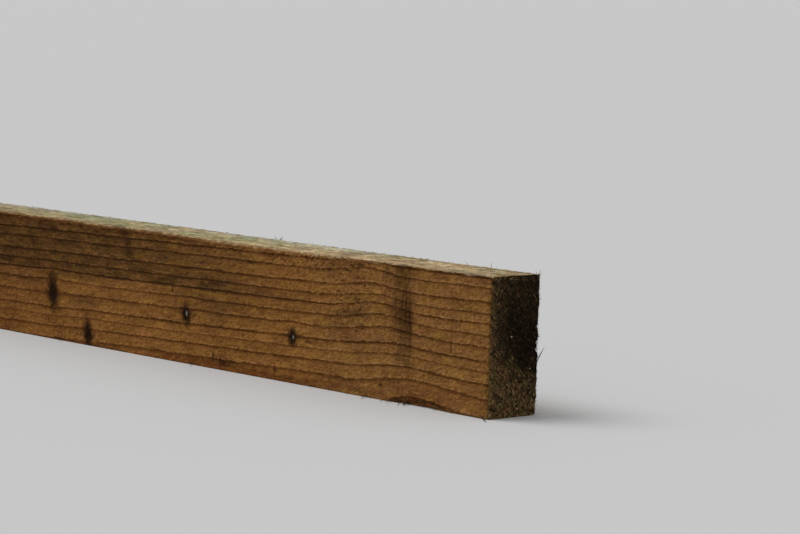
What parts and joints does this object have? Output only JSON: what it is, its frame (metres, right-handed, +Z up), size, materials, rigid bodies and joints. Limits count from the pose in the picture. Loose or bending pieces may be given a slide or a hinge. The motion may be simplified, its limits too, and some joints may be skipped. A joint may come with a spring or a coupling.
{
  "type": "timber stud",
  "caption": "Rough-sawn softwood stud: a long rectangular bar of timber with square-cut ends, used as an upright or rail in a framed wall.",
  "frame": {"origin": "middle of the lower narrow edge, half way along the length", "axes": "+X along the grain towards the end seen in the picture, +Y through the thickness away from the seen wide face, +Z up the wide face"},
  "size_m": [2.4, 0.047, 0.1],
  "materials": {
    "sawn_softwood": "rough-sawn"
  },
  "bodies": {
    "root": {"timber_stud": "sawn_softwood"}
  },
  "joints": []
}
